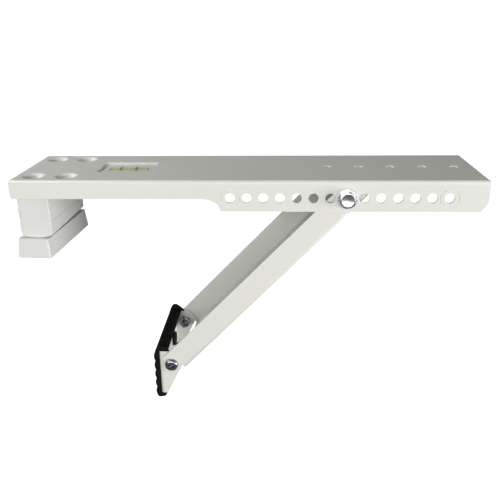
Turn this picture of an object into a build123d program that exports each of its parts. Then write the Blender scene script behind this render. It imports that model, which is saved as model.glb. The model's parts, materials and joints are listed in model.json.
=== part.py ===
"""Window air-conditioner support bracket, in millimetres.

+X runs to the outdoor end, +Y to the far side, +Z up. The origin is the middle of the deck's
top face. The strut is drawn in its working position, foot pad facing the wall.
"""
from build123d import *
from math import sin, cos, radians, sqrt
import os

# ---- rail (deck channel) ----
rail_length = 400.0
rail_width = 100.0
rail_sheet = 2.0
rail_bend = 3.0                # outer bend radius
flange_shallow = 15.8          # flange height at the indoor end, from the deck's top
flange_deep = 26.6             # flange height where the pivot holes are
flange_proud = 0.9             # the flanges' ends past the deck's ends
rail_corner = 2.3              # rounding of the flange's indoor corner
curve_before_hole = 24.4       # the flange's curve starts this far before the first hole
curve_radius = 22.0
curve_run = 13.9
nick_drop = 0.9                # straight nick at the curve's end
nick_run = 0.2
heel_run = 3.0                 # slanted edge down from the nick
chamfer_run = 5.6              # bevel of the flange's outdoor corner, in two facets
chamfer_knee_run = 1.2
chamfer_knee_rise = 5.3
chamfer_rise = 9.2
cut_margin = 1.0               # cutting shapes run this far past the metal

# ---- pivot holes along both flanges ----
pivot_hole_count = 14
pivot_hole_pitch = 14.0
pivot_hole_end = 31.0          # last hole's centre to the outdoor end
pivot_hole_drop = 15.0         # hole centres below the deck's top
pivot_hole_gap = 0.2           # radial, round the bolt
pivot_hole_used = 7            # the bolt is in this hole, counted from 0
coin_radius = 8.4              # coined ring round the first and last hole
coin_width = 1.1
coin_depth = 0.4

# ---- holes in the deck ----
unit_hole_count = 5
unit_hole_pitch = 28.0
unit_hole_end = 17.0           # last hole's centre to the outdoor end
unit_hole_radius = 4.1
sill_hole_end = 15.0           # first dimple's centre to the indoor end
sill_hole_pitch_x = 28.5
sill_hole_edge = 17.75         # dimple's centre to the rail's side
sill_hole_radius = 4.3
dimple_radius = 10.4
dimple_depth = 3.6
dimple_floor = 6.3             # radius of the dimple's flat floor
dimple_shoulder = 1.6          # width of the rounded rim
dimple_shoulder_drop = 0.55
dimple_seam = 0.2              # the pressed cone runs this far into the deck
dimple_thinning = 0.9          # sheet thickness left in the pressed cone, as a share

# ---- level ----
window_length = 49.5
window_width = 36.5
window_end = 90.7              # window's middle to the indoor end
window_corner = 1.0
level_lip = 4.5                # tray's lip under the deck, past the window
level_lip_thick = 1.6
level_lip_corner = 2.0
level_depth = 9.8              # tray's height below the deck's underside
level_wall = 3.0
vial_radius = 4.5
vial_length = 36.0
vial_wall = 0.8
vial_proud = 1.6               # vial's top above the tray's top
vial_gap = 0.1
mark_offset = 7.0              # rings each side of the vial's middle
mark_width = 0.9
mark_thick = 0.08
vial_round = 0.8
bubble_radius = 1.5
bubble_length = 7.0
bubble_gap = 0.15
bubble_end_gap = 1.0           # bubble to the end of its track
track_end_wall = 0.5
tray_slot = 1.6                # open slot at the tray's indoor end
tray_slot_margin = 0.4
tray_side_margin = 1.0
tray_groove = 2.4
tray_groove_depth = 1.0
tray_hole_radius = 1.1
tray_hole_margin = 3.0         # blind hole's centre to the window's outdoor edge

# ---- spacers and sill foot ----
spacer_count = 3
spacer_length = 28.5
spacer_side_gap = 5.5          # spacers to the rail's flanges, each side
stack_offset = 1.1             # stack's middle past the screw holes
stack_turn = 2.0               # the spacers sit turned a little under the deck, degrees
spacer_height = 12.5
spacer_draft = 0.45            # each side, over the height
spacer_corner = 1.0
spacer_hole_gap = 0.5          # radial, past the dimple's screw hole
dimple_gap = 0.6               # pocket round a dimple's underside
peg_radius = 4.0
peg_height = 3.0
peg_gap = 0.12
peg_spacing = 34.0
rocker_height = 14.0
rocker_radius = 38.0
foot_top_length = 27.3
foot_overhang = 3.25           # foot past the spacers, each side
foot_height = 17.1
foot_flare = 1.6               # each side, over the height
foot_gap = 0.45                # rocker to foot, at the middle
foot_turn = 3.5                # the foot sits turned a little on its ball, degrees
foot_offset = -1.3             # ball's middle past the stack's middle
ball_radius = 4.5
ball_drop = 6.0                # ball's centre below the foot's top
ball_gap = 0.08
stud_radius = 2.6
stud_root = 2.0                # the stud starts this far inside the rocker
mouth_radius = 4.0             # socket's mouth at the foot's top
throat_radius = 3.1            # socket's mouth at the ball's middle

# ---- strut ----
strut_angle = 46.1             # below the horizontal, towards the wall
strut_length = 226.5           # pivot bolt to foot screws
strut_side_gap = 1.5           # strut to the rail's flanges, each side
strut_sheet = 2.0
strut_bend = 3.0
strut_open = 10.0              # bolt's axis to the flanges' free edges
strut_back = 12.0              # bolt's axis to the web's outer face
strut_web_cut = 6.3            # web stops this far short of the foot screws
heel_gap = 0.5                 # heel to the deck's underside as it swings past
heel_stop_angle = 80.0         # steepest angle: the heel then meets the deck
heel_arc_end = 57.0            # direction where the round part of the heel ends, degrees

# ---- foot bracket ----
foot_side_gap = 0.5            # ears to the strut's flanges, each side
bracket_sheet = 2.0
bracket_bend = 3.0
web_offset = 12.0              # screws to the web's outer face
ear_above = 12.2               # ear's top above the screws
ear_below = 33.0
ear_top_depth = 16.5
ear_depth = 24.0
ear_tip_above = 3.0
ear_foot_depth = 6.5
ear_round = 1.5

# ---- rubber pad ----
pad_thick = 5.0
pad_rib_count = 5
pad_rib_pitch = 9.4
pad_rib_height = 1.1
pad_hook = 3.8                 # rubber above the web's top edge
pad_heel = 4.6                 # rubber below the web's bottom edge
pad_lip_reach = 6.5            # upper hook past the web's inner face
pad_lip_drop = 4.0
pad_toe_reach = 3.8            # lower hook past the web's inner face
pad_toe_rise = 7.5
pad_crown = 1.0                # the face's rounding starts this far below the web's top edge
pad_end_gap = 1.0              # hooks to the ears' inner faces
pad_gap = 0.05
rim_skirt = 2.0                # the end rims reach this far below the web's top edge
near_rim = 1.2                 # the near rim stands proud by this
near_rim_width = 2.5
far_rim = 3.0                  # the far rim stands proud by this
far_rim_width = 3.2
plug_radius = 7.6
plug_neck = 4.5
plug_height = 2.6
plug_taper = 12.0
plug_spacing = 44.0

# ---- fasteners ----
bolt_radius = 4.0              # M8
bolt_tip = 3.8                 # thread past the nut
bolt_head_flats = 13.0
bolt_head_height = 5.3
bolt_head_turn = 18.0          # degrees
bolt_head_corner = 1.17        # corner radius over half the flats
bolt_head_chamfer = 0.45
bolt_tip_chamfer = 0.7
washer_radius = 8.5
washer_thick = 1.6
spacer_ring_radius = 9.0
running_gap = 0.06             # radial, in the turning holes
ring_gap = 0.12                # pivot spacer to the strut
nut_height = 8.0
nut_crown = 0.97               # crown's radius over half the flats
nut_crown_round = 0.6
insert_height = 1.8
insert_wall = 1.2
insert_sunk = 0.2
screw_radius = 3.0             # M6
screw_head_radius = 6.1
screw_head_height = 3.6
screw_head_round = 2.6
screw_length = 13.5
recess_length = 6.4            # cross recess
recess_width = 1.5
recess_depth = 2.0
recess_taper = 12.0
recess_turn = 30.0
screw_nut_flats = 10.0
screw_nut_height = 5.0
screw_nut_turn = 12.0
screw_washer_radius = 6.0
screw_washer_thick = 1.0
thread_gap = 0.02
hole_gap = 0.15                # holes round a fixed shank

# ---- worked out ----
half_length = rail_length / 2
half_width = rail_width / 2
deck_under = -rail_sheet
rail_inner = half_width - rail_sheet
pivot_hole_radius = bolt_radius + pivot_hole_gap
bolt_length = rail_width + 2 * washer_thick + nut_height + bolt_tip
insert_radius = bolt_radius + insert_wall
window_x = -half_length + window_end
sill_hole_pitch_y = rail_width - 2 * sill_hole_edge
spacer_width = 2 * (rail_inner - spacer_side_gap)
spacer_hole_radius = sill_hole_radius + spacer_hole_gap
foot_width = spacer_width + 2 * foot_overhang
first_hole_x = half_length - pivot_hole_end - (pivot_hole_count - 1) * pivot_hole_pitch
pivot_x = first_hole_x + pivot_hole_used * pivot_hole_pitch
pivot_z = -pivot_hole_drop
unit_mid_x = half_length - unit_hole_end - (unit_hole_count - 1) * unit_hole_pitch / 2
sill_first_x = -half_length + sill_hole_end
dimple_under = -dimple_depth - rail_sheet * dimple_thinning
sill_mid_x = sill_first_x + sill_hole_pitch_x / 2
strut_half = rail_inner - strut_side_gap
strut_inner = strut_half - strut_sheet
ear_half = strut_inner - foot_side_gap
ear_inner = ear_half - bracket_sheet
screw_x = pivot_x - strut_length * cos(radians(strut_angle))
screw_z = pivot_z - strut_length * sin(radians(strut_angle))
stack_x = sill_first_x + stack_offset
foot_x = stack_x + foot_offset
level_top = deck_under
vial_z = level_top + vial_proud - vial_radius
rocker_top = deck_under - spacer_count * spacer_height
rocker_bottom = rocker_top - rocker_height
foot_top = rocker_bottom - foot_gap
ball_z = foot_top - ball_drop


def turned_plane(x, z, turn):
    """A level plane about (x, 0, z), turned by that many degrees, clockwise from above."""
    return Plane(origin=(x, 0, z), x_dir=(cos(radians(turn)), -sin(radians(turn)), 0),
                 z_dir=(0, 0, 1))


def block(plane, length, width, height, draft, corner):
    """A block down from its plane, whose four sides lean in by draft from top to bottom."""
    with BuildPart() as body:
        with BuildSketch(plane):
            RectangleRounded(length, width, corner)
        with BuildSketch(plane.offset(-height)):
            RectangleRounded(length - 2 * draft, width - 2 * draft, corner)
        loft()
    return body.part


def ring(plane, outer, inner, thick):
    """A flat ring that grows from its plane along the plane's normal."""
    with BuildPart() as body:
        with BuildSketch(plane):
            Circle(outer)
            Circle(inner, mode=Mode.SUBTRACT)
        extrude(amount=thick)
    return body.part


def across(x, y, z, side):
    """A plane facing out along Y: side is -1 for the near side and 1 for the far side."""
    return Plane(origin=(x, y, z), x_dir=(1, 0, 0), z_dir=(0, side, 0))


os.makedirs("parts", exist_ok=True)

# ======== rail ========
flange_end = half_length + flange_proud
curve_start = first_hole_x - curve_before_hole
with BuildPart() as rail:
    with BuildSketch(Plane.YZ.offset(-flange_end)):
        with Locations((0, -flange_deep)):
            Rectangle(rail_width, 2 * flange_deep)
        with Locations((0, -2 * flange_deep)):
            Rectangle(rail_width, 2 * flange_deep, mode=Mode.SUBTRACT)
        fillet([v for v in vertices() if abs(v.Y) < 0.01], radius=rail_bend)
    extrude(amount=2 * flange_end)
    with BuildSketch(Plane.YZ.offset(-flange_end)):
        with Locations((0, deck_under - flange_deep)):
            Rectangle(2 * rail_inner, 2 * flange_deep)
        fillet([v for v in vertices() if v.Y > deck_under - 0.01], radius=rail_bend - rail_sheet)
    extrude(amount=2 * flange_end, mode=Mode.SUBTRACT)
    # the deck stops a little short of the flanges' ends
    with BuildSketch(Plane.XY.offset(cut_margin)):
        with Locations((-half_length - flange_proud / 2, 0), (half_length + flange_proud / 2, 0)):
            Rectangle(flange_proud, 2 * (half_width - rail_bend))
    extrude(amount=-rail_sheet - 2 * cut_margin, mode=Mode.SUBTRACT)
    # flange outline: shallow to the indoor end, one curve down to the deep part
    with BuildSketch(Plane.XZ):
        with BuildLine():
            start = (curve_start, -flange_shallow)
            half_drop = curve_radius - sqrt(curve_radius ** 2 - (curve_run / 2) ** 2)
            drop = curve_radius - sqrt(curve_radius ** 2 - curve_run ** 2)
            end = (curve_start + curve_run, -flange_shallow - drop)
            ThreePointArc(start, (curve_start + curve_run / 2, -flange_shallow - half_drop), end)
            nick = (end[0] + nick_run, end[1] - nick_drop)
            low = -flange_deep - cut_margin
            outside = -flange_end - cut_margin
            corner_end = (-flange_end, -flange_shallow + rail_corner)
            corner_start = (-flange_end + rail_corner, -flange_shallow)
            Polyline(end, nick, (nick[0] + heel_run, low), (outside, low),
                     (outside, corner_end[1]), corner_end)
            RadiusArc(corner_end, corner_start, -rail_corner)
            Line(corner_start, start)
        make_face()
    extrude(amount=rail_width, both=True, mode=Mode.SUBTRACT)
    with BuildSketch(Plane.XZ):
        with BuildLine():
            Polyline((flange_end - chamfer_run, -flange_deep),
                     (flange_end - chamfer_knee_run, -flange_deep + chamfer_knee_rise),
                     (flange_end, -flange_deep + chamfer_rise),
                     (flange_end + cut_margin, -flange_deep - cut_margin), close=True)
        make_face()
    extrude(amount=rail_width, both=True, mode=Mode.SUBTRACT)
    # pivot holes through both flanges
    with BuildSketch(Plane.XZ):
        with Locations((first_hole_x + (pivot_hole_count - 1) * pivot_hole_pitch / 2, pivot_z)):
            with GridLocations(pivot_hole_pitch, 0, pivot_hole_count, 1):
                Circle(pivot_hole_radius)
    extrude(amount=rail_width, both=True, mode=Mode.SUBTRACT)
    # coined rings
    for side in (-1, 1):
        for index in (0, pivot_hole_count - 1):
            hole_x = first_hole_x + index * pivot_hole_pitch
            with BuildSketch(across(hole_x, side * half_width, pivot_z, side)):
                Circle(coin_radius)
                Circle(coin_radius - coin_width, mode=Mode.SUBTRACT)
            extrude(amount=-coin_depth, mode=Mode.SUBTRACT)
    # deck holes, window, and the openings that the dimples fill
    with BuildSketch(Plane.XY):
        with Locations((unit_mid_x, 0)):
            with GridLocations(unit_hole_pitch, 0, unit_hole_count, 1):
                Circle(unit_hole_radius)
        with Locations((window_x, 0)):
            RectangleRounded(window_length, window_width, window_corner)
        with Locations((sill_mid_x, 0)):
            with GridLocations(sill_hole_pitch_x, sill_hole_pitch_y, 2, 2):
                Circle(dimple_radius - dimple_seam)
    extrude(amount=-rail_sheet, mode=Mode.SUBTRACT)
    # pressed dimples: the sheet runs down a cone to a flat floor with the hole
    for dx in (-1, 1):
        for dy in (-1, 1):
            dimple_x = sill_mid_x + dx * sill_hole_pitch_x / 2
            dimple_y = dy * sill_hole_pitch_y / 2
            dimple_plane = Plane(origin=(dimple_x, dimple_y, 0), x_dir=(1, 0, 0), z_dir=(0, -1, 0))
            with BuildSketch(dimple_plane):
                with BuildLine():
                    shoulder = (dimple_radius - dimple_shoulder, -dimple_shoulder_drop)
                    Spline((dimple_radius, 0), shoulder, (dimple_floor, -dimple_depth),
                           tangents=((-1, 0), (-0.75, -0.66)))
                    Polyline((dimple_floor, -dimple_depth), (sill_hole_radius, -dimple_depth),
                             (sill_hole_radius, dimple_under), (dimple_floor, dimple_under),
                             (dimple_radius, -rail_sheet), (dimple_radius, 0))
                make_face()
            revolve(axis=Axis((dimple_x, dimple_y, 0), (0, 0, 1)))
rail.part.label = "rail"
export_step(rail.part, "parts/rail.step")

# ======== level ========
tray_x = window_x + tray_slot / 2
vial_start = tray_x - vial_length / 2 - vial_gap
slot_start = window_x - window_length / 2 + tray_slot_margin
with BuildPart() as level_body:
    with BuildSketch(Plane.XY.offset(level_top)):
        with Locations((window_x, 0)):
            RectangleRounded(window_length + 2 * level_lip, window_width + 2 * level_lip,
                             level_lip_corner)
    extrude(amount=-level_lip_thick)
    with BuildSketch(Plane.XY.offset(level_top)):
        with Locations((tray_x, 0)):
            Rectangle(vial_length + 2 * level_wall, 2 * (vial_radius + level_wall))
    extrude(amount=-level_depth)
    # slot at the tray's indoor end
    with BuildSketch(Plane.XY.offset(level_top)):
        with Locations((slot_start + tray_slot / 2, 0)):
            Rectangle(tray_slot, window_width - 2 * tray_side_margin)
    extrude(amount=-level_lip_thick, mode=Mode.SUBTRACT)
    # groove from the slot to the vial, and the vial's trough
    groove_end = vial_start - tray_groove_depth
    with BuildSketch(Plane.XY.offset(level_top)):
        with Locations(((slot_start + groove_end) / 2, 0)):
            Rectangle(groove_end - slot_start, tray_groove)
    extrude(amount=-tray_groove_depth, mode=Mode.SUBTRACT)
    with BuildSketch(Plane.YZ.offset(vial_start)):
        with Locations((0, vial_z)):
            Circle(vial_radius + vial_gap)
        with Locations((0, (vial_z + level_top + cut_margin) / 2)):
            Rectangle(2 * (vial_radius + vial_gap), level_top + cut_margin - vial_z)
    extrude(amount=vial_length + 2 * vial_gap, mode=Mode.SUBTRACT)
    # small blind hole beside the vial
    with BuildSketch(Plane.XY.offset(level_top)):
        with Locations((window_x + window_length / 2 - tray_hole_margin, 0)):
            Circle(tray_hole_radius)
    extrude(amount=-tray_groove_depth, mode=Mode.SUBTRACT)
level_body.part.label = "level_body"
export_step(level_body.part, "parts/level_body.step")

bore_radius = vial_radius - vial_wall
bore_length = vial_length - 4 * vial_wall
with BuildPart() as level_vial:
    with BuildSketch(Plane.YZ.offset(tray_x - vial_length / 2)):
        with Locations((0, vial_z)):
            Circle(vial_radius)
    extrude(amount=vial_length)
    fillet(level_vial.edges().filter_by(GeomType.CIRCLE), radius=vial_round)
    with BuildSketch(Plane.YZ.offset(tray_x - bore_length / 2)):
        with Locations((0, vial_z)):
            Circle(bore_radius)
    extrude(amount=bore_length, mode=Mode.SUBTRACT)
level_vial.part.label = "level_vial"
export_step(level_vial.part, "parts/level_vial.step")

track_radius = bubble_radius + bubble_gap
bubble_z = vial_z + bore_radius - track_radius - bubble_gap
bubble_x = tray_x + bore_length / 2 - bubble_length / 2 - bubble_end_gap
with BuildPart() as level_fluid:
    with BuildSketch(Plane.YZ.offset(tray_x - bore_length / 2)):
        with Locations((0, vial_z)):
            Circle(bore_radius)
    extrude(amount=bore_length)
    with BuildSketch(Plane.YZ.offset(tray_x - bore_length / 2 + track_end_wall)):
        with Locations((0, bubble_z)):
            Circle(track_radius)
    extrude(amount=bore_length - 2 * track_end_wall, mode=Mode.SUBTRACT)
level_fluid.part.label = "level_fluid"
export_step(level_fluid.part, "parts/level_fluid.step")

with BuildPart() as level_bubble:
    with BuildSketch(Plane.YZ.offset(bubble_x - bubble_length / 2)):
        with Locations((0, bubble_z)):
            Circle(bubble_radius)
    extrude(amount=bubble_length)
    fillet(level_bubble.edges().filter_by(GeomType.CIRCLE), radius=bubble_radius * 0.9)
level_bubble.part.label = "level_bubble"
export_step(level_bubble.part, "parts/level_bubble.step")

with BuildPart() as level_marks:
    for side in (-1, 1):
        mark_x = tray_x + side * mark_offset - mark_width / 2
        with BuildSketch(Plane.YZ.offset(mark_x)):
            with Locations((0, vial_z)):
                Circle(vial_radius + mark_thick)
                Circle(vial_radius, mode=Mode.SUBTRACT)
        extrude(amount=mark_width)
level_marks.part.label = "level_marks"
export_step(level_marks.part, "parts/level_marks.step")

# ======== spacers ========
def spacer(top, height, pegs):
    """One drafted block of the stack, with its screw holes and, if asked, pegs on top."""
    top_plane = turned_plane(stack_x, top, stack_turn)
    with BuildPart() as body:
        add(block(top_plane, spacer_length, spacer_width, height, spacer_draft, spacer_corner))
        if pegs:
            with BuildSketch(top_plane):
                with GridLocations(0, peg_spacing, 1, 2):
                    Circle(peg_radius)
            extrude(amount=peg_height)
        with BuildSketch(Plane.XY.offset(top)):
            with Locations((sill_first_x, 0)):
                with GridLocations(0, sill_hole_pitch_y, 1, 2):
                    Circle(spacer_hole_radius)
        extrude(amount=-height, mode=Mode.SUBTRACT)
    return body.part


def sockets(bottom):
    """The two peg sockets that open at a spacer's underside, as solids to cut away."""
    with BuildPart() as body:
        with BuildSketch(turned_plane(stack_x, bottom, stack_turn)):
            with GridLocations(0, peg_spacing, 1, 2):
                Circle(peg_radius + peg_gap)
        extrude(amount=peg_height + peg_gap)
    return body.part


for index in range(spacer_count):
    spacer_top = deck_under - index * spacer_height
    with BuildPart() as spacer_part:
        add(spacer(spacer_top, spacer_height, pegs=index > 0))
        add(sockets(spacer_top - spacer_height), mode=Mode.SUBTRACT)
        if index == 0:
            # pockets round the undersides of the two dimples above
            with BuildSketch(Plane.XY.offset(spacer_top)):
                with Locations((sill_first_x, 0)):
                    with GridLocations(0, sill_hole_pitch_y, 1, 2):
                        Circle(dimple_radius + dimple_gap)
            extrude(amount=dimple_under - dimple_gap - deck_under, mode=Mode.SUBTRACT)
    spacer_part.part.label = f"spacer_{index + 1}"
    export_step(spacer_part.part, f"parts/spacer_{index + 1}.step")

with BuildPart() as spacer_rocker:
    add(spacer(rocker_top, rocker_height, pegs=True))
    # rounded underside, its axis along Y
    with BuildSketch(Plane.XZ):
        with Locations((foot_x, rocker_bottom + rocker_radius)):
            Circle(rocker_radius)
    extrude(amount=rail_width, both=True, mode=Mode.INTERSECT)
    # central stud and ball for the sill foot
    with BuildSketch(Plane.XY.offset(rocker_bottom + stud_root)):
        with Locations((foot_x, 0)):
            Circle(stud_radius)
    extrude(amount=ball_z - rocker_bottom - stud_root)
    with Locations((foot_x, 0, ball_z)):
        Sphere(ball_radius)
spacer_rocker.part.label = "spacer_rocker"
export_step(spacer_rocker.part, "parts/spacer_rocker.step")

with BuildPart() as sill_foot:
    add(block(turned_plane(foot_x, foot_top, foot_turn), foot_top_length, foot_width, foot_height,
              -foot_flare, spacer_corner))
    with Locations((foot_x, 0, ball_z)):
        Sphere(ball_radius + ball_gap, mode=Mode.SUBTRACT)
    # mouth of the socket, opening upwards so that the stud can lean
    with BuildSketch(Plane.XY.offset(ball_z)):
        with Locations((foot_x, 0)):
            Circle(throat_radius)
    with BuildSketch(Plane.XY.offset(foot_top)):
        with Locations((foot_x, 0)):
            Circle(mouth_radius)
    loft(mode=Mode.SUBTRACT)
sill_foot.part.label = "sill_foot"
export_step(sill_foot.part, "parts/sill_foot.step")

# ======== strut ========
# In the strut's side plane, x runs down the strut and y to its outer (web) side.
strut_dir = (-cos(radians(strut_angle)), 0, -sin(radians(strut_angle)))
strut_side = Plane(origin=(pivot_x, 0, pivot_z), x_dir=strut_dir, z_dir=(0, -1, 0))
web_end = strut_length - strut_web_cut
heel_radius = pivot_hole_drop - rail_sheet - heel_gap
stop_turn = radians(90 - heel_stop_angle)
heel_reach = (heel_radius + sin(stop_turn) * strut_back) / cos(stop_turn)
touch = (-heel_radius * cos(stop_turn), -heel_radius * sin(stop_turn))
heel_side = -sqrt(heel_radius ** 2 - strut_open ** 2)
middle_turn = (stop_turn + radians(heel_arc_end)) / 2
heel_middle = (-heel_radius * cos(middle_turn), -heel_radius * sin(middle_turn))
section_origin = Vector(pivot_x, 0, pivot_z) - Vector(*strut_dir) * heel_reach
section = Plane(origin=section_origin, x_dir=(0, 1, 0), z_dir=strut_dir)
# 1 if the section plane's y axis points to the strut's web, -1 if to its open side
web_sign = 1 if section.y_dir.dot(strut_side.y_dir) > 0 else -1
with BuildPart() as strut:
    with BuildSketch(section):
        with Locations((0, web_sign * (strut_back - strut_open) / 2)):
            Rectangle(2 * strut_half, strut_back + strut_open)
        fillet([v for v in vertices() if v.Y * web_sign > 0], radius=strut_bend)
    extrude(amount=heel_reach + strut_length)
    with BuildSketch(section):
        with Locations((0, web_sign * (strut_back - strut_open - 2 * strut_sheet) / 2)):
            Rectangle(2 * strut_inner, strut_back + strut_open)
        fillet([v for v in vertices() if v.Y * web_sign > 0], radius=strut_bend - strut_sheet)
    extrude(amount=heel_reach + strut_length, mode=Mode.SUBTRACT)
    # side outline: shaped heel round the bolt, web cut short, straight to the screws
    with BuildSketch(strut_side):
        with BuildLine():
            ThreePointArc((heel_side, -strut_open), heel_middle, touch)
            Polyline(touch, (-heel_reach, strut_back), (web_end, strut_back),
                     (web_end, 0), (strut_length, 0), (strut_length, -strut_open),
                     (heel_side, -strut_open))
        make_face()
    extrude(amount=rail_width, both=True, mode=Mode.INTERSECT)
    # round noses at the screws, flat like the flanges
    for side in (-1, 1):
        with BuildSketch(across(screw_x, side * strut_half, screw_z, -side)):
            Circle(strut_open)
        extrude(amount=strut_sheet)
    with BuildSketch(strut_side):
        Circle(bolt_radius + running_gap)
        with Locations((strut_length, 0)):
            Circle(screw_radius + running_gap)
    extrude(amount=rail_width, both=True, mode=Mode.SUBTRACT)
strut.part.label = "strut"
export_step(strut.part, "parts/strut.step")

# ======== pivot bolt and its hardware ========
with BuildPart() as pivot_bolt:
    with BuildSketch(across(pivot_x, -half_width - washer_thick, pivot_z, -1)):
        RegularPolygon(bolt_head_flats / 2, 6, major_radius=False, rotation=bolt_head_turn)
    extrude(amount=bolt_head_height)
    head_round = across(pivot_x, -half_width - washer_thick - bolt_head_height, pivot_z, -1)
    with BuildSketch(head_round.offset(-bolt_head_height)):
        Circle(bolt_head_flats / 2 * bolt_head_corner)
    extrude(amount=bolt_head_height, mode=Mode.INTERSECT)
    chamfer(pivot_bolt.faces().sort_by(Axis.Y)[0].edges(), length=bolt_head_chamfer)
    with BuildSketch(across(pivot_x, -half_width - washer_thick, pivot_z, 1)):
        Circle(bolt_radius)
    extrude(amount=bolt_length)
    chamfer(pivot_bolt.faces().sort_by(Axis.Y)[-1].edges(), length=bolt_tip_chamfer)
pivot_bolt.part.label = "pivot_bolt"
export_step(pivot_bolt.part, "parts/pivot_bolt.step")

for side, name in ((-1, "near"), (1, "far")):
    face = across(pivot_x, side * half_width, pivot_z, side)
    washer = ring(face, washer_radius, bolt_radius + hole_gap, washer_thick)
    washer.label = f"pivot_washer_{name}"
    export_step(washer, f"parts/pivot_washer_{name}.step")
    inner_face = across(pivot_x, side * rail_inner, pivot_z, -side)
    gap_ring = ring(inner_face, spacer_ring_radius, bolt_radius + hole_gap,
                    strut_side_gap - ring_gap)
    gap_ring.label = f"pivot_spacer_{name}"
    export_step(gap_ring, f"parts/pivot_spacer_{name}.step")

nut_face = half_width + washer_thick
with BuildPart() as pivot_nut:
    with BuildSketch(across(pivot_x, nut_face, pivot_z, 1)):
        RegularPolygon(bolt_head_flats / 2, 6, major_radius=False)
    extrude(amount=nut_height - insert_height)
    with BuildSketch(across(pivot_x, nut_face + nut_height - insert_height, pivot_z, 1)):
        Circle(bolt_head_flats / 2 * nut_crown)
    extrude(amount=insert_height)
    fillet(pivot_nut.faces().sort_by(Axis.Y)[-1].edges(), radius=nut_crown_round)
    with BuildSketch(across(pivot_x, nut_face, pivot_z, 1)):
        Circle(bolt_radius + thread_gap)
    extrude(amount=nut_height, mode=Mode.SUBTRACT)
    with BuildSketch(across(pivot_x, nut_face + nut_height, pivot_z, -1)):
        Circle(insert_radius)
    extrude(amount=insert_height, mode=Mode.SUBTRACT)
pivot_nut.part.label = "pivot_nut"
export_step(pivot_nut.part, "parts/pivot_nut.step")

insert_face = across(pivot_x, nut_face + nut_height - insert_height, pivot_z, 1)
pivot_nut_insert = ring(insert_face, insert_radius, bolt_radius + thread_gap,
                        insert_height - insert_sunk)
pivot_nut_insert.label = "pivot_nut_insert"
export_step(pivot_nut_insert, "parts/pivot_nut_insert.step")

# ======== foot bracket ========
web_x = screw_x - web_offset
bracket_top = screw_z + ear_above
bracket_bottom = screw_z - ear_below
with BuildPart() as foot_bracket:
    with BuildSketch(Plane.XY.offset(bracket_bottom)):
        with Locations((web_x, 0)):
            Rectangle(ear_depth, 2 * ear_half, align=(Align.MIN, Align.CENTER))
        fillet([v for v in vertices() if abs(v.X - web_x) < 0.01], radius=bracket_bend)
        with Locations((web_x + bracket_sheet, 0)):
            Rectangle(ear_depth, 2 * ear_inner, align=(Align.MIN, Align.CENTER),
                      mode=Mode.SUBTRACT)
    extrude(amount=bracket_top - bracket_bottom)
    with BuildSketch(Plane.XZ):
        with BuildLine():
            Polyline((web_x, bracket_top), (web_x + ear_top_depth, bracket_top),
                     (web_x + ear_depth, screw_z + ear_tip_above),
                     (web_x + ear_foot_depth, bracket_bottom), (web_x, bracket_bottom),
                     close=True)
        make_face()
        fillet([v for v in vertices() if v.X > web_x + 1], radius=ear_round)
    extrude(amount=rail_width, both=True, mode=Mode.INTERSECT)
    with BuildSketch(Plane.XZ):
        with Locations((screw_x, screw_z)):
            Circle(screw_radius + hole_gap)
    extrude(amount=rail_width, both=True, mode=Mode.SUBTRACT)
    # two holes in the web for the pad's plugs
    pad_mid_z = (bracket_top + bracket_bottom) / 2
    with BuildSketch(Plane.YZ.offset(web_x)):
        with Locations((0, pad_mid_z)):
            with GridLocations(plug_spacing, 0, 2, 1):
                Circle(plug_neck + pad_gap)
    extrude(amount=bracket_sheet, mode=Mode.SUBTRACT)
foot_bracket.part.label = "foot_bracket"
export_step(foot_bracket.part, "parts/foot_bracket.step")

# ======== rubber pad ========
rib_root_x = web_x - pad_thick + pad_rib_height
web_in_x = web_x + bracket_sheet
rib_start = bracket_top - pad_crown
rib_foot = rib_start - pad_rib_count * pad_rib_pitch


lip_x = web_in_x + pad_lip_reach
toe_x = web_in_x + pad_toe_reach
inside_x = web_in_x + pad_gap
over_z = bracket_top + pad_gap
under_z = bracket_bottom - pad_gap


def pad_section(proud):
    """The pad's outline in the XZ plane: ribbed face, rounded over both edges of the bracket.

    A proud one stands up over the top, and reaches as far past the lip.
    """
    lip = (lip_x + proud, over_z)
    crown = (web_x + 1, bracket_top + pad_hook + proud)
    heel = (web_x, bracket_bottom - pad_heel)
    toe = (toe_x, under_z)
    with BuildLine() as outline:
        Spline(lip, crown, (rib_root_x, rib_start), tangents=((-0.7, 0.7), (-0.2, -1)))
        for rib in range(pad_rib_count):
            high = rib_start - rib * pad_rib_pitch
            ThreePointArc((rib_root_x, high), (rib_root_x - pad_rib_height, high - pad_rib_pitch / 2),
                          (rib_root_x, high - pad_rib_pitch))
        Spline((rib_root_x, rib_foot), heel, toe, tangents=((0.2, -1), (0.3, 1)))
        Polyline(toe, (web_x - pad_gap, under_z), (web_x - pad_gap, over_z), lip)
    return outline.line


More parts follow.
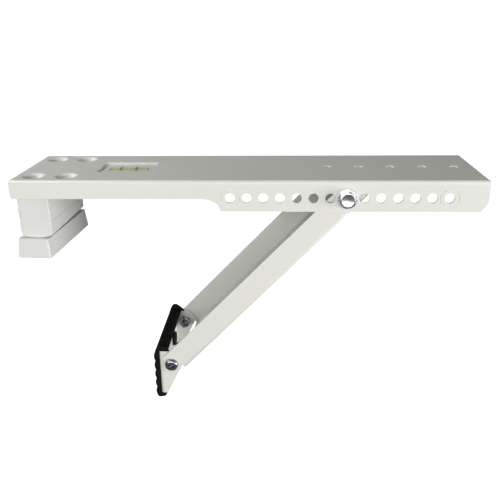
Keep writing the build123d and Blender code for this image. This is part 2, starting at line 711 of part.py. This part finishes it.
with BuildPart() as foot_pad:
    with BuildSketch(Plane.XZ):
        add(pad_section(0))
        make_face()
    extrude(amount=ear_half, both=True)
    # hooks behind the web's two edges
    with BuildSketch(Plane.XZ):
        with BuildLine():
            Polyline((inside_x, over_z), (lip_x, over_z), (inside_x, bracket_top - pad_lip_drop),
                     close=True)
        make_face()
        with BuildLine():
            hook_top = (inside_x, bracket_bottom + pad_toe_rise)
            Polyline(hook_top, (inside_x, under_z), (toe_x, under_z))
            ThreePointArc((toe_x, under_z), (toe_x, bracket_bottom + pad_toe_rise / 2), hook_top)
        make_face()
    extrude(amount=ear_inner - pad_end_gap, both=True)
    # rims over the upper edge's two ends
    for outer_y, proud, width in ((-ear_half, near_rim, near_rim_width),
                                  (ear_half, far_rim, -far_rim_width)):
        with BuildSketch(Plane.XZ.offset(-outer_y)):
            add(pad_section(proud))
            make_face()
            with Locations((web_x, bracket_top - rim_skirt)):
                Rectangle(ear_below, 2 * ear_below, align=(Align.CENTER, Align.MAX),
                          mode=Mode.SUBTRACT)
        extrude(amount=-width)
    # plugs through the web, with a wider button inside
    with BuildSketch(Plane.YZ.offset(web_x - pad_thick / 2)):
        with Locations((0, pad_mid_z)):
            with GridLocations(plug_spacing, 0, 2, 1):
                Circle(plug_neck)
    extrude(amount=pad_thick / 2 + bracket_sheet + plug_height / 2)
    with BuildSketch(Plane.YZ.offset(web_in_x + pad_gap)):
        with Locations((0, pad_mid_z)):
            with GridLocations(plug_spacing, 0, 2, 1):
                Circle(plug_radius)
    extrude(amount=plug_height, taper=plug_taper)
foot_pad.part.label = "foot_pad"
export_step(foot_pad.part, "parts/foot_pad.step")

# ======== foot screws ========
for side, name in ((-1, "near"), (1, "far")):
    with BuildPart() as foot_screw:
        with BuildSketch(across(screw_x, side * strut_half, screw_z, side)):
            Circle(screw_head_radius)
        extrude(amount=screw_head_height)
        outer_rim = foot_screw.faces().sort_by(Axis.Y)[0 if side < 0 else -1].edges()
        fillet(outer_rim, radius=screw_head_round)
        with BuildSketch(across(screw_x, side * strut_half, screw_z, -side)):
            Circle(screw_radius)
        extrude(amount=screw_length)
        # cross recess
        recess = across(screw_x, side * (strut_half + screw_head_height), screw_z, -side)
        with BuildSketch(recess):
            Rectangle(recess_length, recess_width, rotation=recess_turn)
            Rectangle(recess_width, recess_length, rotation=recess_turn)
        extrude(amount=recess_depth, taper=recess_taper, mode=Mode.SUBTRACT)
    foot_screw.part.label = f"foot_screw_{name}"
    export_step(foot_screw.part, f"parts/foot_screw_{name}.step")

    washer_face = across(screw_x, side * ear_inner, screw_z, -side)
    washer = ring(washer_face, screw_washer_radius, screw_radius + hole_gap, screw_washer_thick)
    washer.label = f"foot_washer_{name}"
    export_step(washer, f"parts/foot_washer_{name}.step")

    with BuildPart() as foot_nut:
        with BuildSketch(across(screw_x, side * (ear_inner - screw_washer_thick), screw_z, -side)):
            RegularPolygon(screw_nut_flats / 2, 6, major_radius=False, rotation=screw_nut_turn)
            Circle(screw_radius + thread_gap, mode=Mode.SUBTRACT)
        extrude(amount=screw_nut_height)
    foot_nut.part.label = f"foot_nut_{name}"
    export_step(foot_nut.part, f"parts/foot_nut_{name}.step")
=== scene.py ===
"""Looks of the window air-conditioner support bracket: materials, edges, threads, light and camera.

Lengths are in metres in the CAD frame: +X to the outdoor end, +Y to the far side, +Z up, and the
origin in the middle of the deck's top face.
"""
import json
import math

import bmesh
import bpy
from mathutils import Matrix, Vector


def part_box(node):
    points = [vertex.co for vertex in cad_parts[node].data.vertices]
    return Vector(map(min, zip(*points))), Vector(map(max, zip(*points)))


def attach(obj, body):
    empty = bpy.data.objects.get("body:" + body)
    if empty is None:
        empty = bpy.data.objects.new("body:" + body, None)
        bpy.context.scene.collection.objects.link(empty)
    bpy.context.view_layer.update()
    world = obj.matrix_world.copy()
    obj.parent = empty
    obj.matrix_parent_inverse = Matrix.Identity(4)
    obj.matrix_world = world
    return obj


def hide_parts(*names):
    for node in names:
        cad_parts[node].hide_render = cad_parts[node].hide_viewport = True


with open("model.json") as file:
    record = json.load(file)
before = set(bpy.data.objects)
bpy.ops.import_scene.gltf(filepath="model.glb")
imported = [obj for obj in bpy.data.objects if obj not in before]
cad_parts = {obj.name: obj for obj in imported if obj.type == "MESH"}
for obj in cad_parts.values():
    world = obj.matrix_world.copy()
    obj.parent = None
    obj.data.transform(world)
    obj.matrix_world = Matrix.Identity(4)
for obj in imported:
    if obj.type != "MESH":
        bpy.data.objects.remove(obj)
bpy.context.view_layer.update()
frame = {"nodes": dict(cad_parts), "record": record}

NODES = frame["nodes"]
MM = 0.001

# ---- camera ----
CAMERA_AT = (0.0292, -0.5483, 0.1296)
CAMERA_YAW = math.radians(-2.96)       # to the left of straight ahead
CAMERA_PITCH = math.radians(20.93)     # downwards
CAMERA_ROLL = math.radians(-0.76)
CAMERA_LENS = 44.56                    # mm, on a 36 mm sensor

# ---- stage ----
FLOOR_Z = -0.75
FLOOR_RADIUS = 5.0
WALL_RADIUS = 8.0
WALL_HEIGHT = 4.5                      # wall's top above the floor
FLOOR_RINGS = (0.0, 0.2, 0.5, 1.0)     # rings in the flat floor, as shares of its radius
BEND_STEPS = 12
FLOOR_STEPS = 96

# ---- light: place, target, width, height in metres, and power in watts ----
LAMPS = {
    "key": ((-0.5, -2.2, 0.35), (-0.02, 0, -0.06), 1.8, 1.1, 28),
    "front": ((0.9, -2.2, -0.15), (0, 0, -0.06), 1.4, 1.0, 8.5),
    "side": ((2.2, -0.7, -0.1), (0, 0, -0.08), 1.0, 1.0, 40),
    "top": ((-0.85, -0.05, 0.62), (-0.12, 0, 0), 0.6, 0.6, 6.0),
}
WORLD_COLOUR = (1, 1, 0.985, 1)
WORLD_STRENGTH = 0.128

# ---- fasteners ----
AROUND = 48                            # steps round a turned piece
THREAD_STEPS = 7                       # rings in one turn of a thread
BOLT_RADIUS = 4.0 * MM                 # M8
BOLT_PITCH = 1.25 * MM
BOLT_FLATS = 13.0 * MM
BOLT_THREAD = 62.0 * MM                # threaded length
BOLT_HEAD_TURN = math.radians(18)
SCREW_RADIUS = 3.0 * MM                # M6
SCREW_PITCH = 1.0 * MM
SCREW_NUT_FLATS = 10.0 * MM
SCREW_NUT_TURN = math.radians(12)
SCREW_THREAD_PITCH = 0.9 * SCREW_PITCH  # drawn a little finer, so the short end shows its turns
THREAD_DEPTH = 0.5                     # as a share of the pitch
THREAD_FLANK = 1.3                     # above 1 the roots are narrower than the crests
CROWN_SHARE = 0.475                    # radius of a chamfer's circle, as a share of the flats
NUT_CHAMFER = 0.6                      # drop of a nut's chamfer, per unit of radius

# ---- pivot bolt's head and tip ----
HEAD_FACE = 0.4 * MM                   # washer face under the head
HEAD_RIM = 0.15 * MM
HEAD_DISH = ((4.9 * MM, 0.0), (4.4 * MM, 0.22 * MM), (0.0, 0.26 * MM))  # radius, depth
BOLT_END = 0.8 * MM                    # pointed end of the thread
BOLT_END_STEP = 0.2 * MM

# ---- lock nut's crown ----
INSERT_RADIUS = 5.25 * MM
INSERT_SHOULDER = 0.3 * MM             # hexagon stops this far below the insert
CROWN_ROUND = 0.7 * MM                 # how far the rolled crown leans in
CROWN_RISE = 0.9 * MM
CROWN_STEPS = 4

# ---- foot screws' nuts and thread ends ----
NUT_BORE_GAP = 0.05 * MM               # the nut's bore sinks this far into the screw
NUT_BORE_CHAMFER = (0.45 * MM, 0.4 * MM)
CREST_PROUD = 0.24 * MM                # thread's crest past the plain CAD shank
RIDGE_START = (0.1 * MM, 0.4 * MM)     # below the shank's surface, and inside the nut
RIDGE_LEAD = 0.3 * MM
RIDGE_END = 0.5 * MM


# ======== camera, floor and light ========
def make_camera():
    """The front view's camera, from its place and turn."""
    data = bpy.data.cameras.new("camera")
    data.lens = CAMERA_LENS
    data.sensor_width = 36.0
    data.clip_start = 0.01
    data.clip_end = 60.0
    camera = bpy.data.objects.new("camera", data)
    bpy.context.scene.collection.objects.link(camera)
    turn = (Matrix.Rotation(-CAMERA_YAW, 4, "Z")
            @ Matrix.Rotation(math.radians(90) - CAMERA_PITCH, 4, "X")
            @ Matrix.Rotation(CAMERA_ROLL, 4, "Z"))
    camera.matrix_world = Matrix.Translation(CAMERA_AT) @ turn
    bpy.context.scene.camera = camera


def add_mesh(name, bm):
    """A new mesh object from bmesh geometry, which is freed."""
    bmesh.ops.recalc_face_normals(bm, faces=bm.faces)
    mesh = bpy.data.meshes.new(name)
    bm.to_mesh(mesh)
    bm.free()
    made = bpy.data.objects.new(name, mesh)
    bpy.context.scene.collection.objects.link(made)
    return made


def make_floor():
    """A pale floor that curves up into a wall far behind, all the way round."""
    bm = bmesh.new()
    profile = [(FLOOR_RADIUS * share, FLOOR_Z) for share in FLOOR_RINGS]
    bend = WALL_RADIUS - FLOOR_RADIUS
    for step in range(1, BEND_STEPS + 1):
        turn = math.radians(90) * step / BEND_STEPS
        profile.append((FLOOR_RADIUS + bend * math.sin(turn),
                        FLOOR_Z + bend * (1 - math.cos(turn))))
    profile.append((WALL_RADIUS, FLOOR_Z + WALL_HEIGHT))
    chain = [bm.verts.new((r, 0, z)) for r, z in profile]
    edges = [bm.edges.new(pair) for pair in zip(chain, chain[1:])]
    bmesh.ops.spin(bm, geom=chain + edges, cent=(0, 0, 0), axis=(0, 0, 1), angle=math.tau,
                   steps=FLOOR_STEPS, use_merge=True)
    bmesh.ops.remove_doubles(bm, verts=bm.verts, dist=1e-5)
    floor = add_mesh("floor", bm)
    for face in floor.data.polygons:
        face.use_smooth = True
    look = Look("floor_white")
    look.set(base=(0.86, 0.86, 0.86), roughness=0.9)
    look.shader.inputs["Emission Color"].default_value = (1, 1, 1, 1)
    look.shader.inputs["Emission Strength"].default_value = 1.0
    floor.data.materials.append(look.material)
    floor.visible_diffuse = False
    floor.visible_glossy = False


def area_light(name, place, target, width, height, power):
    data = bpy.data.lights.new(name, "AREA")
    data.shape = "RECTANGLE"
    data.size = width
    data.size_y = height
    data.energy = power
    lamp = bpy.data.objects.new(name, data)
    bpy.context.scene.collection.objects.link(lamp)
    lamp.location = place
    aim = Vector(target) - Vector(place)
    lamp.rotation_euler = aim.to_track_quat("-Z", "Y").to_euler()


def make_light():
    world = bpy.data.worlds.new("studio")
    bpy.context.scene.world = world
    world.use_nodes = True
    background = world.node_tree.nodes["Background"]
    background.inputs["Color"].default_value = WORLD_COLOUR
    background.inputs["Strength"].default_value = WORLD_STRENGTH
    for name, lamp in LAMPS.items():
        area_light(name, *lamp)
    settings = bpy.context.scene.view_settings
    settings.view_transform = "Standard"
    settings.look = "None"


# ======== materials ========
class Look:
    """A material with a Principled shader, fed by procedural nodes in the CAD frame's metres."""

    def __init__(self, name):
        self.material = bpy.data.materials.new(name)
        self.material.use_nodes = True
        self.nodes = self.material.node_tree.nodes
        self.links = self.material.node_tree.links
        self.shader = self.nodes["Principled BSDF"]
        self.place = self.nodes.new("ShaderNodeTexCoord").outputs["Object"]

    def add(self, kind, inputs=None, **settings):
        """A node of that kind, with its settings, and its inputs as values or as other sockets."""
        made = self.nodes.new("ShaderNode" + kind)
        for key, value in settings.items():
            setattr(made, key, value)
        for key, value in (inputs or {}).items():
            if isinstance(value, bpy.types.NodeSocket):
                self.links.new(value, made.inputs[key])
            else:
                made.inputs[key].default_value = value
        return made

    def set(self, base=None, **values):
        """Puts values on the shader's own sockets: Coat_Weight is the socket "Coat Weight"."""
        if base is not None:
            self.shader.inputs["Base Color"].default_value = (*base, 1)
        for key, value in values.items():
            socket = self.shader.inputs[key.replace("_", " ").title().replace("Ior", "IOR")]
            if isinstance(value, bpy.types.NodeSocket):
                self.links.new(value, socket)
            else:
                socket.default_value = value

    def noise(self, scale, detail=2.0, roughness=0.5):
        """Cloudy noise, from 0 to 1, with scale cells to the metre."""
        found = self.add("TexNoise", {"Vector": self.place, "Scale": scale, "Detail": detail,
                                      "Roughness": roughness})
        return found.outputs["Fac"]

    def spread(self, socket, low, high, out_low, out_high):
        """Takes a socket's low..high to out_low..out_high, and holds it there outside."""
        made = self.add("MapRange", {"Value": socket, "From Min": low, "From Max": high,
                                     "To Min": out_low, "To Max": out_high})
        return made.outputs["Result"]

    def blend(self, share, first, second):
        """A colour between two, which are colours or sockets."""
        made = self.nodes.new("ShaderNodeMix")
        made.data_type = "RGBA"
        for index, value in ((0, share), (6, first), (7, second)):
            if isinstance(value, bpy.types.NodeSocket):
                self.links.new(value, made.inputs[index])
            elif index == 0:
                made.inputs[0].default_value = value
            else:
                made.inputs[index].default_value = (*value, 1)
        return made.outputs[2]

    def edge(self, radius):
        """1 on edges and corners rounder than the surface round them, 0 on flat ground."""
        rounded = self.add("Bevel", {"Radius": radius}, samples=6).outputs["Normal"]
        flat = self.add("NewGeometry").outputs["Normal"]
        dot = self.add("VectorMath", {0: rounded, 1: flat}, operation="DOT_PRODUCT")
        return self.spread(dot.outputs["Value"], 0.995, 0.86, 0.0, 1.0)

    def relief(self, *layers):
        """Bump from layers of (height socket, depth in metres, strength)."""
        normal = None
        for height, depth, strength in layers:
            inputs = {"Height": height, "Distance": depth, "Strength": strength}
            if normal is not None:
                inputs["Normal"] = normal
            normal = self.add("Bump", inputs).outputs["Normal"]
        self.links.new(normal, self.shader.inputs["Normal"])

    def paint_colour(self, socket):
        self.links.new(socket, self.shader.inputs["Base Color"])

    def paint_roughness(self, socket):
        self.links.new(socket, self.shader.inputs["Roughness"])


def powder_coat(name, light, dark):
    """Satin off-white powder coat on sheet steel: orange peel, faint clouding, and a painted
    highlight along the edges and bends.
    """
    look = Look(name)
    clouds = look.spread(look.noise(9, 3, 0.6), 0.35, 0.65, 0.0, 1.0)
    colour = look.blend(clouds, light, dark)
    specks = look.spread(look.noise(2600, 1), 0.68, 0.78, 0.0, 0.35)
    colour = look.blend(specks, colour, tuple(0.8 * part for part in dark))
    # painted highlight: edges and bends are lightened in the colour, standing in for light catching
    # them
    painted_edge_highlight = look.edge(0.7 * MM)
    colour = look.blend(painted_edge_highlight, colour, tuple(min(1.0, 1.06 * part) for part in light))
    look.paint_colour(colour)
    look.paint_roughness(look.spread(look.noise(55, 3), 0.3, 0.7, 0.34, 0.46))
    look.relief((look.noise(620, 1.5), 0.12 * MM, 0.35), (look.noise(2400, 1), 0.03 * MM, 0.3))
    return look.material


def moulded_plastic(name, light, dark, roughness=(0.42, 0.56)):
    """Injection-moulded plastic with a fine spark-eroded texture, and a painted highlight along its
    edges.
    """
    look = Look(name)
    clouds = look.spread(look.noise(24, 3, 0.6), 0.35, 0.65, 0.0, 1.0)
    colour = look.blend(clouds, light, dark)
    # painted highlight: edges are lightened in the colour, standing in for light catching them
    painted_edge_highlight = look.edge(0.5 * MM)
    colour = look.blend(painted_edge_highlight, colour, tuple(min(1.0, 1.05 * part) for part in light))
    look.paint_colour(colour)
    look.paint_roughness(look.spread(look.noise(120, 3), 0.3, 0.7, *roughness))
    look.relief((look.noise(1500, 2), 0.05 * MM, 0.35), (look.noise(60, 2), 0.25 * MM, 0.12))
    return look.material


def zinc(name, light, dark, roughness=(0.16, 0.34)):
    """Bright zinc plate, with the brushed and blotched surface of small hardware, and a painted
    sheen along its edges.
    """
    look = Look(name)
    look.set(Metallic=1.0)
    blotches = look.spread(look.noise(260, 4, 0.65), 0.3, 0.7, 0.0, 1.0)
    colour = look.blend(blotches, light, dark)
    # painted highlight: edges are blended to a brighter grey, standing in for a glint of light on
    # them
    painted_edge_sheen = look.edge(0.25 * MM)
    colour = look.blend(painted_edge_sheen, colour, (0.92, 0.92, 0.93))
    look.paint_colour(colour)
    look.paint_roughness(look.spread(look.noise(700, 3), 0.3, 0.7, *roughness))
    look.relief((look.noise(900, 3), 0.05 * MM, 0.4))
    return look.material


def rubber(name):
    """Black moulded rubber with a dull, uneven bloom, and a painted highlight on its edges and
    raised parts.
    """
    look = Look(name)
    bloom = look.spread(look.noise(150, 4, 0.65), 0.4, 0.72, 0.0, 1.0)
    colour = look.blend(bloom, (0.006, 0.006, 0.005), (0.012, 0.012, 0.010))
    # painted highlight: edges and raised parts are lightened in the colour, standing in for light
    # on the curved rubber
    painted_edge_sheen = look.edge(0.6 * MM)
    colour = look.blend(painted_edge_sheen, colour, (0.02, 0.02, 0.018))
    look.paint_colour(colour)
    look.paint_roughness(look.spread(look.noise(300, 3), 0.3, 0.7, 0.5, 0.66))
    look.shader.inputs["Specular IOR Level"].default_value = 0.12
    look.relief((look.noise(1100, 3), 0.06 * MM, 0.4))
    return look.material


def clear_vial(name):
    """Clear acrylic, thin enough to take the light straight through."""
    look = Look(name)
    look.set(base=(0.95, 1.0, 0.85), Alpha=0.12)
    look.paint_roughness(look.spread(look.noise(400, 2), 0.3, 0.7, 0.02, 0.07))
    look.relief((look.noise(300, 2), 0.02 * MM, 0.15))
    return look.material


def level_liquid(name):
    """Yellow-green spirit with a painted glow: its emission stands in for light coming through the
    vial.
    """
    look = Look(name)
    tint = look.spread(look.noise(90, 2), 0.35, 0.65, 0.0, 1.0)
    look.paint_colour(look.blend(tint, (0.44, 0.66, 0.02), (0.38, 0.58, 0.015)))
    look.set(Roughness=0.12, Coat_Weight=0.3)
    # painted glow: emission makes the spirit bright though it is no lamp
    look.shader.inputs["Emission Color"].default_value = (0.42, 0.62, 0.01, 1)
    look.shader.inputs["Emission Strength"].default_value = 0.32
    return look.material


def ink(name):
    """Black printed rings."""
    look = Look(name)
    look.paint_colour(look.blend(look.noise(1500, 2), (0.01, 0.01, 0.01), (0.03, 0.03, 0.03)))
    look.paint_roughness(look.spread(look.noise(800, 2), 0.3, 0.7, 0.3, 0.45))
    return look.material


def air(name):
    """The bubble, which shows the liquid's colour, paler."""
    look = Look(name)
    look.set(base=(0.80, 0.92, 0.35), Alpha=0.6)
    look.paint_roughness(look.spread(look.noise(500, 2), 0.3, 0.7, 0.03, 0.08))
    return look.material


WARM_WHITE = (0.80, 0.80, 0.745)
WARM_SHADE = (0.775, 0.775, 0.72)
COOL_WHITE = (0.78, 0.78, 0.75)
COOL_SHADE = (0.755, 0.755, 0.725)


def make_materials():
    """One material for each of the record's slots, by the slot's name."""
    return {
        "deck_paint": powder_coat("deck_paint", WARM_WHITE, WARM_SHADE),
        "strut_paint": powder_coat("strut_paint", WARM_WHITE, WARM_SHADE),
        "bracket_paint": powder_coat("bracket_paint", WARM_WHITE, WARM_SHADE),
        "level_plastic": moulded_plastic("level_plastic", COOL_WHITE, COOL_SHADE),
        "level_clear": clear_vial("level_clear"),
        "level_liquid": level_liquid("level_liquid"),
        "level_air": air("level_air"),
        "level_ink": ink("level_ink"),
        "spacer_plastic": moulded_plastic("spacer_plastic", COOL_WHITE, COOL_SHADE),
        "foot_plastic": moulded_plastic("foot_plastic", COOL_SHADE, (0.73, 0.73, 0.70)),
        "bolt_zinc": zinc("bolt_zinc", (0.80, 0.80, 0.82), (0.58, 0.58, 0.61), (0.16, 0.3)),
        "washer_zinc": zinc("washer_zinc", (0.78, 0.78, 0.80), (0.62, 0.62, 0.65)),
        "spacer_nylon": moulded_plastic("spacer_nylon", (0.8, 0.79, 0.73), (0.76, 0.75, 0.69)),
        "nut_zinc": zinc("nut_zinc", (0.72, 0.72, 0.75), (0.5, 0.5, 0.54)),
        "insert_nylon": moulded_plastic("insert_nylon", (0.07, 0.17, 0.45), (0.05, 0.13, 0.38)),
        "pad_rubber": rubber("pad_rubber"),
        "screw_zinc": zinc("screw_zinc", (0.48, 0.48, 0.53), (0.26, 0.26, 0.30), (0.14, 0.3)),
    }


# ======== turned pieces ========
def hexagon(flats, turn=0.0):
    """The radius of a hexagon's outline at an angle."""
    def radius(angle):
        return flats / 2 / math.cos((angle - turn) % math.radians(60) - math.radians(30))
    return radius


def cone_edge(outline, crown, top):
    """Height of the 30 degree chamfer that a cone cuts on a hexagon's corners."""
    def height(angle):
        return top - max(0.0, outline(angle) - crown) * math.tan(math.radians(30))
    return height


def nut_edges(outline, crown, low, high):
    """A nut's two chamfered hexagon rings, between the flats' heights low and high."""
    def drop(angle):
        return NUT_CHAMFER * (outline(angle) - crown)
    return [(outline, lambda angle: low + drop(angle)),
            (outline, lambda angle: high - drop(angle))]


def thread(radius, pitch, start, end):
    """Rings of a right-handed thread between two heights, fading out at both ends."""
    count = round((end - start) / pitch * THREAD_STEPS)
    rings = []
    for index in range(count + 1):
        height = start + (end - start) * index / count
        fade = min(1.0, index / THREAD_STEPS, (count - index) / THREAD_STEPS)

        def groove(angle, height=height, fade=fade):
            phase = (height / pitch - angle / math.tau) % 1.0
            ridge = (1 - abs(2 * phase - 1)) ** THREAD_FLANK
            return radius - fade * THREAD_DEPTH * pitch * ridge
        rings.append((groove, height))
    return rings


def turned(name, place, side, rings, loop=False):
    """A solid round the line along Y through place, from rings of (radius, height).

    Heights run from place towards side, and both may be functions of the angle. A loop closes on
    itself, like a nut.
    """
    bm = bmesh.new()
    rows = []
    for radius, height in rings:
        row = []
        for step in range(AROUND):
            angle = math.tau * step / AROUND
            r = radius(angle) if callable(radius) else radius
            h = height(angle) if callable(height) else height
            spot = (place[0] + r * math.cos(angle), place[1] + side * h,
                    place[2] + r * math.sin(angle))
            row.append(bm.verts.new(spot))
        rows.append(row)
    pairs = list(zip(rows, rows[1:]))
    if loop:
        pairs.append((rows[-1], rows[0]))
    for low, high in pairs:
        for step in range(AROUND):
            after = (step + 1) % AROUND
            bm.faces.new((low[step], low[after], high[after], high[step]))
    bmesh.ops.remove_doubles(bm, verts=bm.verts, dist=1e-7)
    made = add_mesh(name, bm)
    for face in made.data.polygons:
        face.use_smooth = True
    made.data.set_sharp_from_angle(angle=math.radians(28))
    return made


def fit_piece(made, look, slot_name, body, *nodes):
    """Gives a piece its material, hides the CAD nodes it replaces, and attaches it to its body;
    slot_name is not used.
    """
    made.data.materials.append(look)
    if nodes:
        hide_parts(*nodes)
    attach(made, body)


def joint_place(name):
    """A joint's place in the XZ plane, from the record."""
    for joint in frame["record"]["behaviour"]["joints"]:
        if joint["name"] == name:
            return joint["pos_m"]
    raise KeyError(name)


def make_bolt(looks):
    """The pivot bolt: chamfered head with a shallow dish, washer face, shank and thread."""
    x, _, z = joint_place("strut_fold")
    head_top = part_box("pivot_bolt")[0][1]
    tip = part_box("pivot_bolt")[1][1]
    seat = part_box("pivot_washer_near")[0][1]
    top = seat - head_top
    length = tip - seat
    outline = hexagon(BOLT_FLATS, BOLT_HEAD_TURN)
    crown = CROWN_SHARE * BOLT_FLATS
    rings = [(0.0, -length), (BOLT_RADIUS - BOLT_END, -length),
             (BOLT_RADIUS - BOLT_END_STEP, -length + BOLT_END)]
    rings += thread(BOLT_RADIUS, BOLT_PITCH, -length + BOLT_END, -length + BOLT_THREAD)
    rings += [(BOLT_RADIUS, -length + BOLT_THREAD + BOLT_PITCH), (BOLT_RADIUS, 0.0),
              (crown, 0.0), (crown, HEAD_FACE), (outline, HEAD_FACE),
              (outline, cone_edge(outline, crown, top)), (crown - HEAD_RIM, top)]
    rings += [(radius, top - depth) for radius, depth in HEAD_DISH]
    bolt = turned("pivot_bolt_real", (x, seat, z), -1, rings)
    fit_piece(bolt, looks["bolt_zinc"], "bolt_zinc", "deck", "pivot_bolt")


def make_lock_nut(looks):
    """The nylon-insert nut: hexagon with a chamfer below and a rolled crown above."""
    x, _, z = joint_place("strut_fold")
    low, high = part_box("pivot_nut")
    height = high[1] - low[1]
    insert_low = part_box("pivot_nut_insert")[0][1] - low[1]
    outline = hexagon(BOLT_FLATS)
    crown = CROWN_SHARE * BOLT_FLATS
    shoulder = insert_low - INSERT_SHOULDER
    rings = [(BOLT_RADIUS, 0.0), (crown, 0.0), *nut_edges(outline, crown, 0.0, shoulder),
             (crown, shoulder), (crown, height - CROWN_RISE)]
    for step in range(1, CROWN_STEPS + 1):
        turn = math.radians(90) * step / CROWN_STEPS
        rings.append((crown - CROWN_ROUND * (1 - math.cos(turn)),
                      height - CROWN_RISE + CROWN_RISE * math.sin(turn)))
    rings += [(INSERT_RADIUS, height), (INSERT_RADIUS, insert_low), (BOLT_RADIUS, insert_low)]
    nut = turned("pivot_nut_real", (x, low[1], z), 1, rings, loop=True)
    fit_piece(nut, looks["nut_zinc"], "nut_zinc", "deck", "pivot_nut")


def make_foot_hardware(looks):
    """Chamfered nuts on the foot's screws, and the thread that stands out past each."""
    x, _, z = joint_place("foot_tilt")
    outline = hexagon(SCREW_NUT_FLATS, SCREW_NUT_TURN)
    crown = CROWN_SHARE * SCREW_NUT_FLATS
    bore = SCREW_RADIUS - NUT_BORE_GAP
    flare, flare_depth = NUT_BORE_CHAMFER
    start_sunk, start_back = RIDGE_START
    for side, name in ((-1, "near"), (1, "far")):
        low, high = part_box("foot_nut_" + name)
        seat, inner = (low[1], high[1]) if side < 0 else (high[1], low[1])
        height = abs(inner - seat)
        rings = [(bore, 0.0), (crown, 0.0), *nut_edges(outline, crown, 0.0, height),
                 (crown, height), (SCREW_RADIUS + flare, height), (bore, height - flare_depth)]
        nut = turned("foot_nut_real_" + name, (x, seat, z), -side, rings, loop=True)
        fit_piece(nut, looks["nut_zinc"], "nut_zinc", "foot", "foot_nut_" + name)
        shank_low, shank_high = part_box("foot_screw_" + name)
        end = shank_high[1] if side < 0 else shank_low[1]
        reach = abs(end - inner)
        rings = [(SCREW_RADIUS - start_sunk, -start_back)]
        rings += thread(SCREW_RADIUS + CREST_PROUD, SCREW_THREAD_PITCH, -RIDGE_LEAD, reach)
        rings += [(SCREW_RADIUS - RIDGE_END, reach + RIDGE_END), (0.0, reach + RIDGE_END)]
        ridge = turned("foot_screw_thread_" + name, (x, inner, z), -side, rings)
        fit_piece(ridge, looks["screw_zinc"], "screw_zinc", "foot")


# ======== CAD nodes ========
WELD_REACH = 2e-6
BEVEL_SEGMENTS = 2
BEVEL_ANGLE = math.radians(32)         # sharper edges than this are broken
EDGE_WIDTHS = {                        # in millimetres
    "rail": 0.35, "strut": 0.35, "foot_bracket": 0.35, "level_body": 0.3, "spacer_1": 0.45,
    "spacer_2": 0.45, "spacer_3": 0.45, "spacer_rocker": 0.45, "sill_foot": 0.6, "foot_pad": 0.5,
    "pivot_washer_near": 0.25, "pivot_washer_far": 0.25, "foot_washer_near": 0.2,
    "foot_washer_far": 0.2, "pivot_spacer_near": 0.2, "pivot_spacer_far": 0.2,
    "foot_screw_near": 0.12, "foot_screw_far": 0.12,
}


def round_edges(name, width):
    """Breaks a CAD node's sharp edges with a small real bevel."""
    node = NODES[name]
    weld = node.modifiers.new("weld", "WELD")
    weld.merge_threshold = WELD_REACH
    bevel = node.modifiers.new("bevel", "BEVEL")
    bevel.width = width
    bevel.segments = BEVEL_SEGMENTS
    bevel.limit_method = "ANGLE"
    bevel.angle_limit = BEVEL_ANGLE
    bevel.use_clamp_overlap = True
    bevel.harden_normals = True
    bevel.miter_outer = "MITER_ARC"


def dress_nodes(looks):
    """Puts each CAD node's material on it, by the record's slot."""
    slot_of = {row["node"]: row["material_slot"] for row in frame["record"]["subparts"]}
    for name, node in NODES.items():
        look = looks[slot_of[name]]
        if node.material_slots:
            for place in node.material_slots:
                place.material = look
        else:
            node.data.materials.append(look)


# ======== build ========
make_camera()
make_floor()
make_light()
looks = make_materials()
dress_nodes(looks)
for edged, width_mm in EDGE_WIDTHS.items():
    round_edges(edged, width_mm * MM)
make_bolt(looks)
make_lock_nut(looks)
make_foot_hardware(looks)
